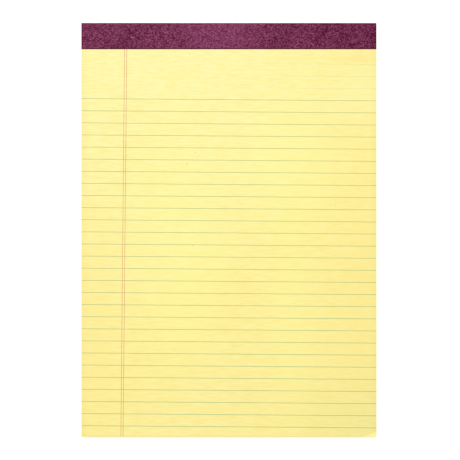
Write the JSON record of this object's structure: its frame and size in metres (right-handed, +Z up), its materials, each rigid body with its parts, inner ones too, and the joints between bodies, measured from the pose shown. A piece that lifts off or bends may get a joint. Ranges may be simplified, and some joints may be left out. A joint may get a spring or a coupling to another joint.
{
  "type": "legal pad",
  "caption": "Bound pad of yellow ruled paper with a double margin line, a leather-grain tape folded over its head and a chipboard back.",
  "frame": {"origin": "middle of the pad's outline, on the surface that it lies on", "axes": "+Z up out of the page, +Y towards the bound head, +X to the reader's right"},
  "size_m": [0.2126, 0.2984, 0.0066],
  "materials": {
    "canary_paper": "matt uncoated",
    "grey_chipboard": "matt, flecked",
    "leather_grain_tape": "embossed leather grain, low sheen",
    "stitching_wire": "drawn, galvanised",
    "blue_ink": "matt printed ink",
    "red_ink": "matt printed ink"
  },
  "bodies": {
    "root": {"page_block": "canary_paper", "backing_board": "grey_chipboard", "binding_tape": "leather_grain_tape", "staples": "stitching_wire", "blue_rules": "blue_ink", "margin_lines": "red_ink"}
  },
  "joints": []
}
